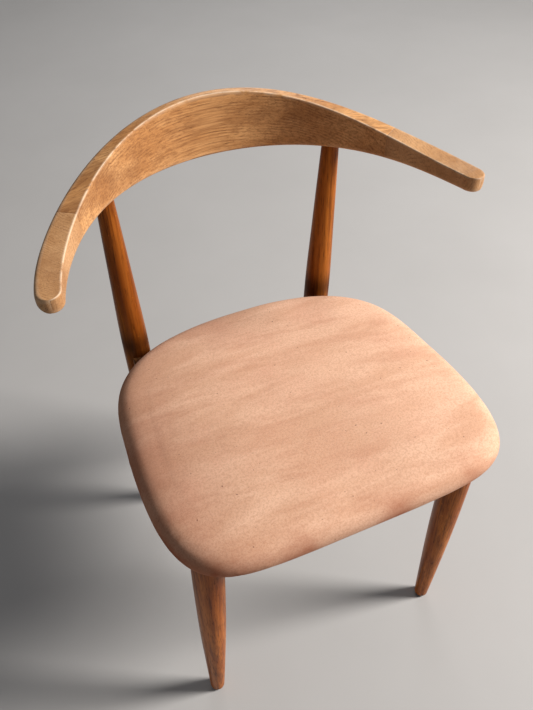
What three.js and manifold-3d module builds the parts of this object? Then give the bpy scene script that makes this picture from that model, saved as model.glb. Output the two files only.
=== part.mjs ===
// Dining armchair: one curved rail makes the back and both arms, four turned legs carry it,
// and an upholstered pad lies on a dowelled seat frame. Millimetres, +Z up, front towards -Y.
import * as THREE from 'three';
import { mergeVertices } from 'three/addons/utils/BufferGeometryUtils.js';
import Module from 'manifold-3d';

const wasm = await Module();
wasm.setup();

// Driving dimensions
const gap = 0.3;
const chairShiftY = 2.3;

// Back and arm rail. Every value is a polynomial of u, which runs from 0 at the middle of the back
// to 1 at an arm's end, so the two halves mirror each other.
const rail = {
  middleY: 212.4,
  halfLength: 353,
  // Heading of the inner top edge in plan, in radians: u, u^3, u^5
  heading: [1.728, -0.75, 0.46],
  // Height of the top edge, depth of the inner face, width of the top face: 1, u^2, u^4, u^6
  top: [724.8, -147.5, 112.8, -18.3],
  depth: [80.6, -186, 186, -61.5],
  width: [12.7, 41, -27],
  // How far the inner face's foot lies outside (+) or inside (-) its top edge: 1, u^2, u^4
  lean: [-2.6, -4.4, 6.2],
};
const railBackSwell = 0.12;
const railPlainDepth = 22;
const railEdgeRadii = { innerTop: 1.5, outerTop: 5.5, outerFoot: 8, innerFoot: 4 };
const railCornerSteps = 2;
const armJoint = 0.655;
const armEnd = 0.972;
const armNoseLength = 14;
const armNoseSteps = [0.3, 0.6, 0.85];
const crestSteps = 20;
const armSteps = 7;
const planSteps = 120;
const rearLegJoint = 0.443;

// Legs: axis points, and radii at heights along the axis
const footHeight = 2.5;
const frontLeg = { foot: [177.5, -160.2, 0], head: [171.3, -176.3, 420] };
const frontLegRadii = [[0, 8.6], [2.5, 10], [100, 13.9], [205, 17.3], [320, 19.1], [430, 19.8]];
const rearLegFoot = [133, 187.9, 0];
const rearLegRadii = [
  [0, 8.8], [2.5, 10.5], [120, 14], [270, 17.6], [400, 18.4], [520, 15.5], [680, 10.8],
];
const legSegments = 20;
const legCurvePoints = 8;
const rearLegSpare = 15;
const tenon = { radius: 6.5, depth: 17, root: 12 };

// Seat frame, in the seat's own tilted plane: z = 0 is the underside of the pad
const seatSlope = 0.055;
const seatHingeY = -30;
const seatUnderside = 402.6;
const frameTop = -1.1;
const frameThickness = 20;
const frameRail = { top: frameTop, depth: 48, forward: 0 };
const rearRail = { top: -14, depth: 36, forward: 10 };
const railSlots = { length: 600, spareDepth: 40 };
const frameDowel = { radius: 4, length: 36, fromAxis: 18.5 };
const sideDowelDepths = [11, 33];
const crossDowelDepths = [21, 43];
const armDowel = { radius: 3.5, length: 44, spacing: 12 };
const dowelChamfer = 1;
const dowelSegments = 8;
const block = { reach: 84, flat: 16, depth: 28 };
const blockScrew = { radius: 2, head: 4, length: 34, depth: 22, fromTip: 9 };
const seatScrew = { radius: 2.2, head: 4.4, length: 33, alongCross: 31, alongSide: 63, depth: 23.4 };
const screwHead = { rim: 0.8, height: 3.2 };
const screwTipLength = 4;
const screwSegments = 8;
const driverRoom = 20;

// Pad: a rounded trapezoid. Its half width changes along its depth, and each half, front and back,
// has its own reach and its own roundness.
const pad = {
  halfWidth: [216.2, -17.6, 13.5],
  front: { reach: 203.2, across: 6.7, along: 1.95 },
  back: { reach: 190.7, across: 2.3, along: 3.34 },
  frontBow: 6.3,
};
// Cross-section of the pad's cover, from the hem under the board to the crown: inset, height
const padProfile = [
  [25, 0], [10, 0], [4.5, 2.6], [2, 6.7], [0, 15], [1.5, 24.5],
  [6, 32], [12, 36], [22, 39.4], [60, 43.2], [120, 46],
];
const padCrown = 46.8;
const padSides = 36;
const coverThickness = 1.2;
const board = { inset: 10.5, bottom: 1.5, top: 13.5 };
const foamLip = 4.5;
const dustCover = { inset: 20, bottom: -0.8, top: -0.3 };
const glide = { radius: 8.2, height: 2.2, chamfer: 0.6, pinRadius: 1.2, pinLength: 12 };
const glideSegments = 16;

// Materials
const finish = (color, roughness, metalness = 0) =>
  new THREE.MeshStandardMaterial({ color, roughness, metalness });
const oak = finish(0xc79a6b, 0.42);
const walnut = finish(0x7d3d16, 0.35);
const suede = finish(0xd9a68d, 0.95);
const foam = finish(0xeadfc4, 0.95);
const plywood = finish(0xd6bd93, 0.7);
const beech = finish(0xcfa97c, 0.6);
const cambric = finish(0x1b1a1a, 0.95);
const steel = finish(0x9c9a94, 0.35, 1);
const nylon = finish(0x3a2f27, 0.5);

// Solids
function toManifold(geometry, matrix) {
  const bare = geometry.clone();
  bare.deleteAttribute('uv');
  bare.deleteAttribute('normal');
  const welded = mergeVertices(bare, 1e-4).applyMatrix4(matrix);
  return new wasm.Manifold(new wasm.Mesh({
    numProp: 3,
    vertProperties: Float32Array.from(welded.attributes.position.array),
    triVerts: Uint32Array.from(welded.index.array),
  }));
}

function fromManifold(solid) {
  const { vertProperties, triVerts } = solid.getMesh();
  const geometry = new THREE.BufferGeometry();
  geometry.setAttribute('position', new THREE.BufferAttribute(vertProperties, 3));
  geometry.setIndex(new THREE.BufferAttribute(triVerts, 1));
  geometry.computeVertexNormals();
  return geometry;
}

// Cuts tools out of a placed mesh. Each tool is a geometry and the placed object that it follows.
function carve(mesh, tools) {
  mesh.updateWorldMatrix(true, false);
  const toLocal = mesh.matrixWorld.clone().invert();
  let solid = toManifold(mesh.geometry, new THREE.Matrix4());
  for (const { geometry, follows } of tools) {
    follows.updateWorldMatrix(true, false);
    const matrix = toLocal.clone().multiply(follows.matrixWorld);
    solid = solid.subtract(toManifold(geometry, matrix));
  }
  mesh.geometry = fromManifold(solid);
}

function closedLoft(rings, startPoint, endPoint) {
  const count = rings[0].length;
  const points = [...rings.flat(), startPoint, endPoint];
  const start = points.length - 2;
  const end = points.length - 1;
  const last = (rings.length - 1) * count;
  const index = [];
  for (let side = 0; side < count; side += 1) {
    const next = (side + 1) % count;
    index.push(start, next, side, end, last + side, last + next);
    for (let base = 0; base < last; base += count) {
      index.push(base + side, base + next, base + count + next);
      index.push(base + side, base + count + next, base + count + side);
    }
  }
  const geometry = new THREE.BufferGeometry().setFromPoints(points);
  geometry.setIndex(index);
  geometry.computeVertexNormals();
  return geometry;
}

// A body turned about Z from a profile of radius and height
function turned(profile, segments) {
  const points = profile.map(([radius, height]) => new THREE.Vector2(radius, height));
  return new THREE.LatheGeometry(points, segments).rotateX(Math.PI / 2);
}

function plate(shape, bottom, top) {
  const geometry = new THREE.ExtrudeGeometry(shape, { depth: top - bottom, bevelEnabled: false });
  return geometry.translate(0, 0, bottom);
}

function addMesh(parent, name, geometry, material) {
  const mesh = new THREE.Mesh(geometry, material);
  mesh.name = name;
  parent.add(mesh);
  return mesh;
}

// Points an object's own Z from one point to another
function aim(object, from, to) {
  const direction = new THREE.Vector3().subVectors(to, from).normalize();
  object.position.copy(from);
  object.quaternion.setFromUnitVectors(new THREE.Vector3(0, 0, 1), direction);
}

const even = (terms, u) => terms.reduce((sum, term, index) => sum + term * u ** (2 * index), 0);
const headingAt = (u) => u * even(rail.heading, u);

// The inner top edge in plan, by steps along its length from the middle of the back
const planPoints = [new THREE.Vector2(0, rail.middleY)];
for (let step = 1; step <= planSteps; step += 1) {
  const heading = headingAt((step - 0.5) / planSteps);
  const stride = new THREE.Vector2(Math.cos(heading), -Math.sin(heading));
  planPoints.push(planPoints.at(-1).clone().addScaledVector(stride, rail.halfLength / planSteps));
}

// A four-cornered section with rounded corners, as points across and up
function roundedSection(corners) {
  const points = [];
  corners.forEach(({ at, radius }, index) => {
    const before = corners[(index + 3) % 4].at;
    const after = corners[(index + 1) % 4].at;
    const enter = at.clone().add(before.clone().sub(at).setLength(radius));
    const leave = at.clone().add(after.clone().sub(at).setLength(radius));
    const bend = new THREE.QuadraticBezierCurve(enter, at, leave);
    points.push(...bend.getPoints(railCornerSteps));
  });
  return points;
}

// Where the rail is at u, which is negative on the left
function railFrame(u) {
  const side = Math.sign(u) || 1;
  const far = Math.abs(u);
  const step = Math.min(Math.floor(far * planSteps), planSteps - 1);
  const plan = planPoints[step].clone().lerp(planPoints[step + 1], far * planSteps - step);
  const heading = headingAt(far);
  return {
    edge: new THREE.Vector3(side * plan.x, plan.y, even(rail.top, far)),
    along: new THREE.Vector3(Math.cos(heading), -side * Math.sin(heading), 0),
    outward: new THREE.Vector3(side * Math.sin(heading), Math.cos(heading), 0),
    depth: even(rail.depth, far),
    width: even(rail.width, far),
    lean: even(rail.lean, far),
  };
}

// One section of the rail. nose runs from 0 to 1 round the arm's rounded end.
function railRing(u, grow, nose = 0) {
  const { edge, outward, along, depth, width, lean } = railFrame(u);
  const swell = railBackSwell * Math.max(0, depth - railPlainDepth);
  const { innerTop, outerTop, outerFoot, innerFoot } = railEdgeRadii;
  const section = roundedSection([
    { at: new THREE.Vector2(-grow, grow), radius: innerTop },
    { at: new THREE.Vector2(lean - grow, -depth - grow), radius: innerFoot },
    { at: new THREE.Vector2(width + swell + grow, -depth - grow), radius: outerFoot },
    { at: new THREE.Vector2(width + grow, grow), radius: outerTop },
  ]);
  const turn = nose * Math.PI / 2;
  const squeeze = Math.cos(turn);
  const advance = armNoseLength * Math.sin(turn) * Math.sign(u);
  return section.map(({ x, y }) => edge.clone()
    .addScaledVector(outward, width / 2 + (x - width / 2) * squeeze)
    .addScaledVector(along, advance)
    .add(new THREE.Vector3(0, 0, y)));
}

const centreOf = (ring) => ring
  .reduce((sum, point) => sum.add(point), new THREE.Vector3())
  .divideScalar(ring.length);

// The rail between two values of u, left to right; noses names the ends that are rounded
function railBody(from, to, steps, grow = 0, noses = []) {
  const rings = [];
  if (noses.includes('left')) {
    rings.push(...armNoseSteps.toReversed().map((nose) => railRing(from, grow, nose)));
  }
  for (let step = 0; step <= steps; step += 1) {
    rings.push(railRing(from + (to - from) * step / steps, grow));
  }
  if (noses.includes('right')) {
    rings.push(...armNoseSteps.map((nose) => railRing(to, grow, nose)));
  }
  return closedLoft(rings, centreOf(rings[0]), centreOf(rings.at(-1)));
}

// Groups
const chair = new THREE.Group();
chair.position.y = chairShiftY;
const seat = new THREE.Group();
seat.position.set(0, seatHingeY, seatUnderside);
seat.rotation.x = -Math.atan(seatSlope);
chair.add(seat);
chair.updateWorldMatrix(true, true);

const sides = [['left', -1], ['right', 1]];
const onSide = ([x, y, z], side) => new THREE.Vector3(side * x, y, z);

// Rail: the crest between two arm sections, each glued on with two dowels
const armStart = armJoint + gap / rail.halfLength;
const crest = addMesh(chair, 'crest_rail', railBody(-armJoint, armJoint, crestSteps), oak);
const arms = {
  left: addMesh(chair, 'arm_left', railBody(-armEnd, -armStart, armSteps, 0, ['left']), oak),
  right: addMesh(chair, 'arm_right', railBody(armStart, armEnd, armSteps, 0, ['right']), oak),
};

function dowelBody({ radius, length }, grow = 0) {
  const half = length / 2 + grow;
  const side = radius + grow;
  return turned([
    [0, -half], [side - dowelChamfer, -half], [side, -half + dowelChamfer],
    [side, half - dowelChamfer], [side - dowelChamfer, half], [0, half],
  ], dowelSegments);
}

for (const [word, side] of sides) {
  const joint = railFrame(side * armJoint);
  const middle = joint.edge.clone()
    .addScaledVector(joint.outward, joint.width / 2)
    .add(new THREE.Vector3(0, 0, -joint.depth / 2));
  for (const [level, offset] of [['upper', 0.5], ['lower', -0.5]]) {
    const at = middle.clone().add(new THREE.Vector3(0, 0, offset * armDowel.spacing));
    const dowel = addMesh(chair, `arm_dowel_${word}_${level}`, dowelBody(armDowel), beech);
    aim(dowel, at, at.clone().add(joint.along));
    const hole = { geometry: dowelBody(armDowel, gap), follows: dowel };
    carve(crest, [hole]);
    carve(arms[word], [hole]);
  }
}

// Legs
function legBody({ radii, length }, grow = 0) {
  const [[startHeight, startRadius], ...rest] = radii;
  const curve = new THREE.SplineCurve(rest.map(([height, radius]) => new THREE.Vector2(radius, height)));
  const side = curve.getPoints(legCurvePoints).map((point) => [point.x + grow, point.y]);
  side.at(-1)[1] = length;
  return turned([
    [0, startHeight], [startRadius + grow, startHeight], ...side, [0, length],
  ], legSegments);
}

function railUnderside(u) {
  const { edge, outward, depth, width } = railFrame(u);
  return edge.clone()
    .addScaledVector(outward, width / 2 + 1)
    .add(new THREE.Vector3(0, 0, -depth));
}

const legs = [];
for (const [word, side] of sides) {
  const front = {
    end: 'front',
    word,
    foot: onSide(frontLeg.foot, side),
    head: onSide(frontLeg.head, side),
    radii: frontLegRadii,
  };
  const rear = {
    end: 'rear',
    word,
    foot: onSide(rearLegFoot, side),
    head: railUnderside(side * rearLegJoint),
    radii: rearLegRadii,
  };
  front.length = front.foot.distanceTo(front.head);
  rear.length = rear.foot.distanceTo(rear.head) + rearLegSpare;
  legs.push(front, rear);
}

for (const leg of legs) {
  leg.mesh = addMesh(chair, `${leg.end}_leg_${leg.word}`, legBody(leg), walnut);
  aim(leg.mesh, leg.foot, leg.head);
  leg.grown = { geometry: legBody(leg, gap), follows: leg.mesh };
}

// Feet are cut level above the glides, and the front legs' heads level with the seat frame
const slabWidth = 1000;
const slabDepth = 100;
const slab = new THREE.BoxGeometry(slabWidth, slabWidth, slabDepth);
const floorCut = { geometry: slab.clone().translate(0, 0, footHeight - slabDepth / 2), follows: chair };
const seatCut = { geometry: slab.clone().translate(0, 0, frameTop + slabDepth / 2), follows: seat };
const railCut = { geometry: railBody(-armJoint, armJoint, crestSteps, gap), follows: chair };
for (const leg of legs) {
  carve(leg.mesh, [floorCut, leg.end === 'front' ? seatCut : railCut]);
}

// The rear legs' round tenons, and their mortises in the crest
for (const leg of legs.filter(({ end }) => end === 'rear')) {
  const shoulder = leg.foot.distanceTo(leg.head);
  const tenonBody = (grow) => turned([
    [0, shoulder - tenon.root], [tenon.radius + grow, shoulder - tenon.root],
    [tenon.radius + grow, shoulder + tenon.depth + grow], [0, shoulder + tenon.depth + grow],
  ], legSegments);
  carve(crest, [{ geometry: tenonBody(gap), follows: leg.mesh }]);
  const whole = toManifold(leg.mesh.geometry, new THREE.Matrix4());
  leg.mesh.geometry = fromManifold(whole.add(toManifold(tenonBody(0), new THREE.Matrix4())));
}

// Glides: a round pad with a pin up into the foot
function glideBody(grow = 0) {
  const pin = glide.pinRadius + grow;
  const tip = glide.height + glide.pinLength + grow;
  return turned([
    [0, -grow], [glide.radius - glide.chamfer, -grow], [glide.radius, glide.chamfer],
    [glide.radius, glide.height], [pin, glide.height], [pin, tip], [0, tip],
  ], glideSegments);
}

for (const leg of legs) {
  const mesh = addMesh(chair, `foot_glide_${leg.end}_${leg.word}`, glideBody(), nylon);
  mesh.position.copy(leg.foot);
  carve(leg.mesh, [{ geometry: glideBody(gap), follows: mesh }]);
}

// Seat frame. Each leg's axis is followed to a depth in the seat's tilted plane.
const toSeat = seat.matrixWorld.clone().invert();
function axisAtDepth(leg, depth) {
  const foot = leg.foot.clone().applyMatrix4(chair.matrixWorld).applyMatrix4(toSeat);
  const head = leg.head.clone().applyMatrix4(chair.matrixWorld).applyMatrix4(toSeat);
  return foot.lerp(head, (-depth - foot.z) / (head.z - foot.z));
}
const legAt = (end, word) => legs.find((leg) => leg.end === end && leg.word === word);
const corners = {
  frontLeft: legAt('front', 'left'),
  frontRight: legAt('front', 'right'),
  rearLeft: legAt('rear', 'left'),
  rearRight: legAt('rear', 'right'),
};
const frameMembers = [
  { name: 'front', from: 'frontLeft', to: 'frontRight', size: frameRail, depths: crossDowelDepths },
  { name: 'rear', from: 'rearRight', to: 'rearLeft', size: rearRail, depths: crossDowelDepths },
  { name: 'left', from: 'rearLeft', to: 'frontLeft', size: frameRail, depths: sideDowelDepths },
  { name: 'right', from: 'frontRight', to: 'rearRight', size: frameRail, depths: sideDowelDepths },
];

const railsAt = new Map(legs.map((leg) => [leg, []]));
for (const member of frameMembers) {
  const { top, depth: railDepth, forward } = member.size;
  const ends = [corners[member.from], corners[member.to]];
  const [start, finish] = ends.map((leg) => axisAtDepth(leg, railDepth / 2 - top));
  start.y -= forward;
  finish.y -= forward;
  const length = start.distanceTo(finish);
  const geometry = new THREE.BoxGeometry(length, frameThickness, railDepth);
  const mesh = addMesh(seat, `seat_rail_${member.name}`, geometry, beech);
  mesh.position.addVectors(start, finish).divideScalar(2);
  mesh.position.z = top - railDepth / 2;
  const run = new THREE.Vector3().subVectors(finish, start).setZ(0).normalize();
  mesh.rotation.z = Math.atan2(run.y, run.x);
  carve(mesh, ends.map((leg) => leg.grown));
  ends.forEach((leg, index) => {
    const inward = run.clone().multiplyScalar(index === 0 ? 1 : -1);
    railsAt.get(leg).push({ mesh, inward, forward });
    member.depths.forEach((depth, level) => {
      const middle = axisAtDepth(leg, depth);
      middle.y -= forward;
      middle.addScaledVector(inward, frameDowel.fromAxis);
      const name = `dowel_${member.name}_${leg.end}_${leg.word}_${level + 1}`;
      const dowel = addMesh(seat, name, dowelBody(frameDowel), beech);
      aim(dowel, middle, middle.clone().add(inward));
      const hole = { geometry: dowelBody(frameDowel, gap), follows: dowel };
      carve(mesh, [hole]);
      carve(leg.mesh, [hole]);
    });
  });
}

// What a rail takes up, with room to spare along and below it
function railSlot(mesh) {
  const { length, spareDepth } = railSlots;
  const geometry = new THREE.BoxGeometry(length, frameThickness + 2 * gap, frameRail.depth + spareDepth);
  return { geometry, follows: mesh };
}
const sideRails = ['left', 'right'].map((name) => seat.getObjectByName(`seat_rail_${name}`));
carve(seat.getObjectByName('seat_rail_rear'), sideRails.map(railSlot));

// Screws: a countersunk head at z = 0 and the point above it. The hole has room for the driver.
function screwBody({ radius, head, length }, grow = 0) {
  const tip = length + grow;
  const start = grow ? -driverRoom : 0;
  const shank = radius + grow;
  return turned([
    [0, start], [head + grow, start], [head + grow, screwHead.rim], [shank, screwHead.height],
    [shank, tip - screwTipLength], [0, tip],
  ], screwSegments);
}

const blockTop = frameTop - gap;
const railFace = frameThickness / 2 + gap;
const seatScrewHoles = [];
for (const leg of legs) {
  const [first, second] = railsAt.get(leg);
  const corner = axisAtDepth(leg, block.depth / 2).setZ(0);
  corner.y -= Math.max(first.forward, second.forward);
  const along = (a, b, z = 0) => corner.clone()
    .addScaledVector(first.inward, a)
    .addScaledVector(second.inward, b)
    .setZ(z);
  const outline = [
    along(railFace, railFace), along(block.reach, railFace), along(block.reach, railFace + block.flat),
    along(railFace + block.flat, block.reach), along(railFace, block.reach),
  ];
  const turnsLeft = first.inward.clone().cross(second.inward).z > 0;
  const shape = new THREE.Shape(turnsLeft ? outline : outline.toReversed());
  const blockBody = plate(shape, blockTop - block.depth, blockTop);
  const mesh = addMesh(seat, `corner_block_${leg.end}_${leg.word}`, blockBody, beech);
  carve(mesh, [leg.grown, railSlot(first.mesh), railSlot(second.mesh)]);

  const far = block.reach - blockScrew.fromTip;
  const near = railFace + block.flat + 1;
  const entries = [
    { at: along(far, near, -blockScrew.depth), towards: second.inward, rail: first.mesh },
    { at: along(near, far, -blockScrew.depth), towards: first.inward, rail: second.mesh },
  ];
  entries.forEach(({ at, towards, rail }, index) => {
    const name = `block_screw_${leg.end}_${leg.word}_${index + 1}`;
    const screw = addMesh(seat, name, screwBody(blockScrew), steel);
    aim(screw, at, at.clone().sub(towards));
    const hole = { geometry: screwBody(blockScrew, gap), follows: screw };
    carve(mesh, [hole]);
    carve(rail, [hole]);
  });

  const screw = addMesh(seat, `seat_screw_${leg.end}_${leg.word}`, screwBody(seatScrew), steel);
  screw.position.copy(along(seatScrew.alongCross, seatScrew.alongSide, -seatScrew.depth));
  const hole = { geometry: screwBody(seatScrew, gap), follows: screw };
  carve(mesh, [hole]);
  seatScrewHoles.push(hole);
}

// Pad: every ring of it is the outline, drawn in by an inset
const roundedPower = (value, power) => Math.sign(value) * Math.abs(value) ** (2 / power);

function padRing(inset, height) {
  const ring = [];
  for (let side = 0; side < padSides; side += 1) {
    const angle = (side + 0.5) / padSides * 2 * Math.PI;
    const half = Math.sin(angle) < 0 ? pad.front : pad.back;
    const along = roundedPower(Math.sin(angle), half.along);
    const across = roundedPower(Math.cos(angle), half.across);
    const [width, taper, belly] = pad.halfWidth;
    const x = (width - inset + taper * along + belly * along ** 2) * across;
    const bow = along < 0 ? pad.frontBow * (1 - across ** 2) * Math.abs(along) ** 3 : 0;
    ring.push(new THREE.Vector3(x, (half.reach - inset) * along - bow, height));
  }
  return ring;
}

// The profile moved inwards by a distance, square to its own line
function offsetProfile(distance) {
  return padProfile.map(([inset, height], index) => {
    const before = padProfile[Math.max(0, index - 1)];
    const after = padProfile[Math.min(padProfile.length - 1, index + 1)];
    const line = new THREE.Vector2(after[0] - before[0], after[1] - before[1]).normalize();
    return [inset + line.y * distance, height - line.x * distance];
  });
}

function padShape(inset) {
  return new THREE.Shape(padRing(inset, 0));
}

// The cover is one skin: down the inside, round the hem and up over the outside
const toRings = (profile) => profile.map(([inset, height]) => padRing(inset, height));
const coverInside = toRings(offsetProfile(coverThickness)).toReversed();
const coverOutside = toRings(padProfile);
const crownInside = new THREE.Vector3(0, 0, padCrown - coverThickness);
const crownOutside = new THREE.Vector3(0, 0, padCrown);
const coverBody = closedLoft([...coverInside, ...coverOutside], crownInside, crownOutside);
addMesh(seat, 'seat_cover', coverBody, suede);

const foamSkin = offsetProfile(coverThickness + gap).filter(([, height]) => height > foamLip);
const foamRings = [
  padRing(board.inset - gap, board.top + gap),
  padRing(board.inset - gap, foamLip),
  ...toRings(foamSkin),
];
const foamBase = new THREE.Vector3(0, 0, board.top + gap);
const foamCrown = new THREE.Vector3(0, 0, padCrown - coverThickness - gap);
addMesh(seat, 'seat_foam', closedLoft(foamRings, foamBase, foamCrown), foam);

const boardBody = plate(padShape(board.inset), board.bottom, board.top);
const dustCoverBody = plate(padShape(dustCover.inset), dustCover.bottom, dustCover.top);
carve(addMesh(seat, 'seat_board', boardBody, plywood), seatScrewHoles);
carve(addMesh(seat, 'dust_cover', dustCoverBody, cambric), seatScrewHoles);

export default chair;
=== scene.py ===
import math

import bpy
import numpy as np
from mathutils import Matrix, Vector, noise


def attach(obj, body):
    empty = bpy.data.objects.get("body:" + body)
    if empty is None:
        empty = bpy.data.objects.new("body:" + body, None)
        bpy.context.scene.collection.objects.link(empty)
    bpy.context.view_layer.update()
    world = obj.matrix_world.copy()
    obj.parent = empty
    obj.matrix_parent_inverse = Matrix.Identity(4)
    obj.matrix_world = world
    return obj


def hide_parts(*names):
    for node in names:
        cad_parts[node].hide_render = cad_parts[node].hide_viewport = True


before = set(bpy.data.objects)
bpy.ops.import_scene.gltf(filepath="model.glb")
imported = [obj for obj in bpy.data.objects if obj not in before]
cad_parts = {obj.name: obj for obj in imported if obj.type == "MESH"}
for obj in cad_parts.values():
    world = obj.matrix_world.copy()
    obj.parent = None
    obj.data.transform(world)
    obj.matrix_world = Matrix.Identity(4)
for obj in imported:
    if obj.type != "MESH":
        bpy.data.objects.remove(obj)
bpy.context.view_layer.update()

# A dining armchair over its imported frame. Metres, +Z up, front towards -Y.

chair = {
    "shiftY": 0.0023,  # from the legs' own middle to the origin
    "seatSlope": 0.055,  # the seat falls this much per metre towards the back
    "seatHinge": (0, -0.03, 0.4026),  # middle of the pad's underside
}
seatPlace = (Matrix.Translation(Vector(chair["seatHinge"]) + Vector((0, chair["shiftY"], 0)))
             @ Matrix.Rotation(-math.atan(chair["seatSlope"]), 4, "X"))
sides = (("Left", -1), ("Right", 1))


# Node graphs written as expressions

class Wire:
    # a socket that takes part in arithmetic

    def __init__(self, graph, socket):
        self.graph = graph
        self.socket = socket

    def maths(self, operation, first, second=0.0):
        return self.graph.node("ShaderNodeMath", {"operation": operation}, {0: first, 1: second})

    def __add__(self, other):
        return self.maths("ADD", self, other)

    def __radd__(self, other):
        return self.maths("ADD", other, self)

    def __sub__(self, other):
        return self.maths("SUBTRACT", self, other)

    def __rsub__(self, other):
        return self.maths("SUBTRACT", other, self)

    def __mul__(self, other):
        return self.maths("MULTIPLY", self, other)

    def __rmul__(self, other):
        return self.maths("MULTIPLY", other, self)

    def __truediv__(self, other):
        return self.maths("DIVIDE", self, other)

    def __pow__(self, other):
        return self.maths("POWER", self, other)

    def fraction(self):
        return self.maths("FRACT", self)

    def between(self, low, high):
        # 0 below low, 1 above high, and a soft step from one to the other
        return self.graph.node("ShaderNodeMapRange", {"interpolation_type": "SMOOTHSTEP"},
                               {"Value": self, "From Min": low, "From Max": high})


class Graph:
    # a node tree that is fed with wires, lists of wires and plain values

    def __init__(self, tree):
        self.tree = tree

    def feed(self, socket, value):
        if isinstance(value, Wire):
            self.tree.links.new(value.socket, socket)
        elif isinstance(value, list):
            for wire in value:
                self.tree.links.new(wire.socket, socket)
        elif socket.type == "RGBA" and len(value) == 3:
            socket.default_value = (*value, 1)
        else:
            socket.default_value = value

    def node(self, kind, settings=None, inputs=None, out=0):
        made = self.tree.nodes.new(kind)
        for key, value in (settings or {}).items():
            setattr(made, key, value)
        for key, value in (inputs or {}).items():
            self.feed(made.inputs[key], value)
        return Wire(self, made.outputs[out])


class Finish(Graph):
    # a material: a principled shader, and the place on the piece that its patterns follow

    def __init__(self, name, shader):
        self.material = bpy.data.materials.new(name)
        self.material.use_nodes = True
        super().__init__(self.material.node_tree)
        self.tree.nodes.clear()
        output = self.tree.nodes.new("ShaderNodeOutputMaterial")
        self.shader = self.tree.nodes.new("ShaderNodeBsdfPrincipled")
        self.tree.links.new(self.shader.outputs[0], output.inputs[0])
        for key, value in shader.items():
            self.feed(self.shader.inputs[key], value)
        self.place = self.node("ShaderNodeTexCoord", out="Object")

    def move(self, vector, location=(0, 0, 0), rotation=(0, 0, 0), scale=(1, 1, 1)):
        return self.node("ShaderNodeMapping", None, {
            "Vector": vector, "Location": location, "Rotation": rotation, "Scale": scale})

    def noise(self, vector, scale=1.0, detail=2.0, roughness=0.5, distortion=0.0):
        return self.node("ShaderNodeTexNoise", None, {
            "Vector": vector, "Scale": scale, "Detail": detail,
            "Roughness": roughness, "Distortion": distortion})

    def axis(self, vector, name):
        return self.node("ShaderNodeSeparateXYZ", None, {0: vector}, name)

    def blend(self, factor, first, second):
        return self.node("ShaderNodeMix", {"data_type": "RGBA"}, {0: factor, 6: first, 7: second}, 2)

    def painted(self, name):
        return self.node("ShaderNodeAttribute", {"attribute_name": name}, None, "Fac")

    def close(self, colour, roughness=None, height=None, depth=0.0002, strength=0.5):
        self.feed(self.shader.inputs["Base Color"], colour)
        if roughness is not None:
            self.feed(self.shader.inputs["Roughness"], roughness)
        if height is not None:
            bump = self.node("ShaderNodeBump", None,
                             {"Height": height, "Distance": depth, "Strength": strength})
            self.feed(self.shader.inputs["Normal"], bump)
        return self.material


class Growth(Graph):
    # a geometry node tree with named inputs, run once and kept as a plain mesh

    def __init__(self, name):
        super().__init__(bpy.data.node_groups.new(name, "GeometryNodeTree"))
        self.given = self.tree.nodes.new("NodeGroupInput")
        self.keys = {}

    def ask(self, name, kind):
        socket = self.tree.interface.new_socket(name, in_out="INPUT", socket_type=kind)
        self.keys[name] = socket.identifier
        return Wire(self, self.given.outputs[name])

    def close(self, geometry, material):
        whole = self.node("GeometryNodeRealizeInstances", None, {0: geometry})
        painted = self.node("GeometryNodeSetMaterial", None, {0: whole, "Material": material})
        self.tree.interface.new_socket("Geometry", in_out="OUTPUT", socket_type="NodeSocketGeometry")
        output = self.tree.nodes.new("NodeGroupOutput")
        self.feed(output.inputs[0], painted)

    def grow(self, name, values, base=None):
        piece = bpy.data.objects.new(name, base or bpy.data.meshes.new(name))
        bpy.context.scene.collection.objects.link(piece)
        modifier = piece.modifiers.new("grow", "NODES")
        modifier.node_group = self.tree
        for key, value in values.items():
            modifier[self.keys[key]] = value
        keepShape(piece)
        return piece


def keepShape(piece):
    # applies what the piece's modifiers make
    bpy.context.view_layer.update()
    evaluated = piece.evaluated_get(bpy.context.evaluated_depsgraph_get())
    mesh = bpy.data.meshes.new_from_object(evaluated)
    piece.modifiers.clear()
    piece.data = mesh
    mesh.name = piece.name


def smoothShade(mesh, sharpAngle=40):
    mesh.polygons.foreach_set("use_smooth", [True] * len(mesh.polygons))
    mesh.set_sharp_from_angle(angle=math.radians(sharpAngle))
    mesh.update()


def makePiece(name, vertices, faces, material, sharpAngle=40):
    mesh = bpy.data.meshes.new(name)
    mesh.from_pydata([tuple(point) for point in vertices], [], faces)
    mesh.materials.append(material)
    smoothShade(mesh, sharpAngle)
    piece = bpy.data.objects.new(name, mesh)
    bpy.context.scene.collection.objects.link(piece)
    return piece


def tubeFaces(rings, around, closed=True):
    # quads between rings that run the same way round, and a face over each end
    faces = []
    for ring in range(rings - 1):
        for step in range(around):
            after = (step + 1) % around
            base = ring * around
            faces.append((base + step, base + after, base + around + after, base + around + step))
    if closed:
        last = (rings - 1) * around
        faces.append(tuple(reversed(range(around))))
        faces.append(tuple(range(last, last + around)))
    return faces


def easedBlock(name, outline, bottom, top, ease, material):
    # an outline run from bottom to top, with its edges eased
    around = len(outline)
    vertices = [Vector((x, y, z)) for z in (bottom, top) for x, y in outline]
    piece = makePiece(name, vertices, tubeFaces(2, around), material)
    bevel = piece.modifiers.new("ease", "BEVEL")
    bevel.width = ease
    bevel.segments = 3
    keepShape(piece)
    smoothShade(piece.data, 50)
    return piece


def place(piece, slot, *nodes):
    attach(piece, "root")
    if nodes:
        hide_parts(*nodes)


# Finishes

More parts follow.
